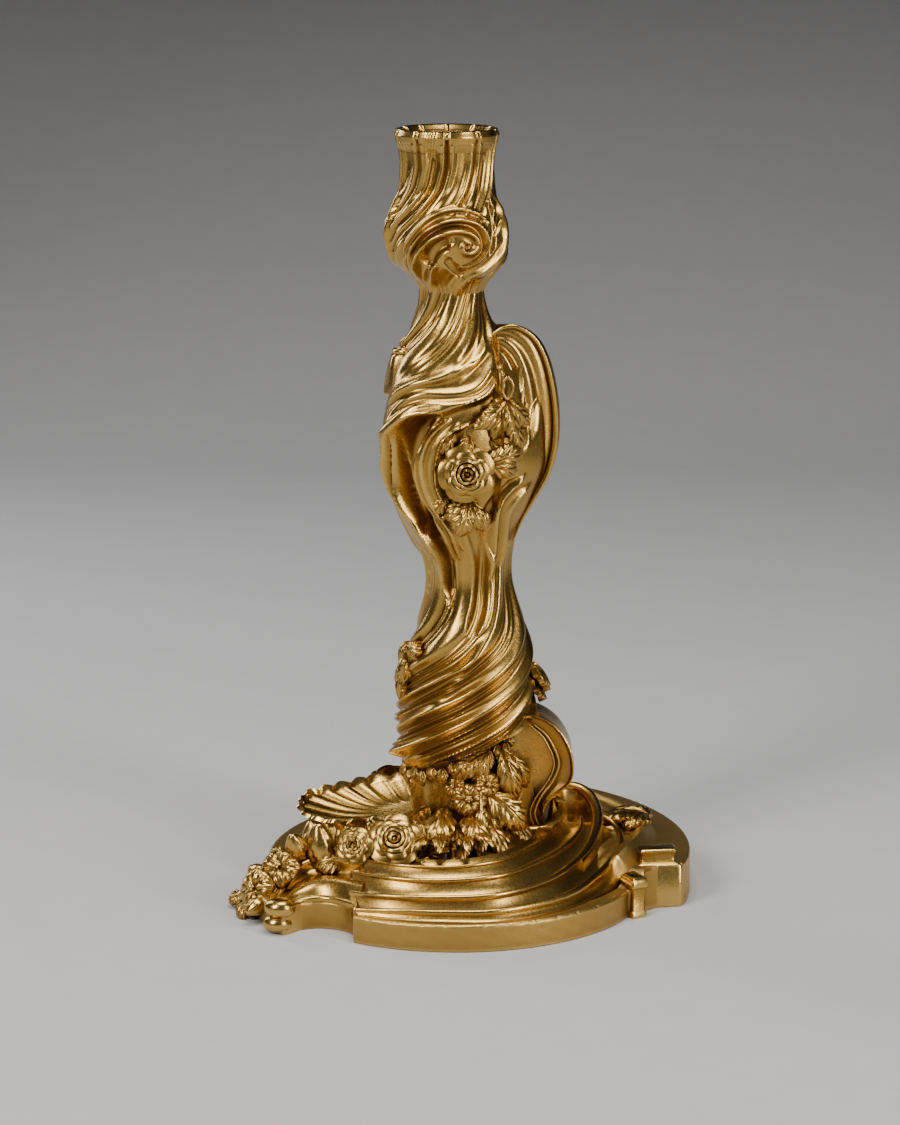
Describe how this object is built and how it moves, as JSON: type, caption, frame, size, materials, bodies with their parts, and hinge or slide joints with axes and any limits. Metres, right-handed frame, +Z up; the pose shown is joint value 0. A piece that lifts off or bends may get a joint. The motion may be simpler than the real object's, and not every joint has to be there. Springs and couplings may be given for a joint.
{
  "type": "candlestick",
  "caption": "Gilt-bronze rococo candlestick: spreading scrolled base with applied flowers, twisted fluted stem, lobed knop and a socket whose loose liner holds one candle",
  "frame": {"origin": "middle of the base's bounding box on the table, z 0 at the table", "axes": "+X right, +Y to the back, +Z up; the front of the candlestick faces -Y; the candle axis stands 7 mm to the left of the origin"},
  "size_m": [0.185, 0.1859, 0.308],
  "materials": {
    "gilt_bronze": "mercury-gilt bronze, burnished on the crests and matt in the recesses",
    "liner_brass": "plain turned brass, dulled",
    "iron_fixings": "dark wrought iron"
  },
  "bodies": {
    "root": {"back_acanthus": "gilt_bronze", "back_rose": "gilt_bronze", "base_casting": "gilt_bronze", "base_nut": "iron_fixings", "base_washer": "iron_fixings", "bouquet_flowers": "gilt_bronze", "bouquet_leaves": "gilt_bronze", "candle_socket": "gilt_bronze", "collar_leaf_left": "gilt_bronze", "collar_leaf_right": "gilt_bronze", "corner_garland": "gilt_bronze", "floor_acanthus": "gilt_bronze", "hanging_bud": "gilt_bronze", "knop_back_leaf": "gilt_bronze", "knop_back_rose": "gilt_bronze", "knop_lower_leaf": "gilt_bronze", "knop_rose": "gilt_bronze", "knop_side_leaf": "gilt_bronze", "knop_upper_leaves": "gilt_bronze", "large_rose": "gilt_bronze", "oak_leaf_sprig": "gilt_bronze", "ornament_rivets": "iron_fixings", "small_rose": "gilt_bronze", "steady_pins": "iron_fixings", "stem_casting": "gilt_bronze", "stem_studs": "iron_fixings", "tie_rod": "iron_fixings", "tulip_bud": "gilt_bronze"},
    "liner": {"socket_liner": "liner_brass"}
  },
  "joints": [
    {"name": "liner_lift", "type": "slide", "parent": "root", "child": "liner", "axis": [0, 0, 1], "range_m": [0, 0.05]}
  ]
}
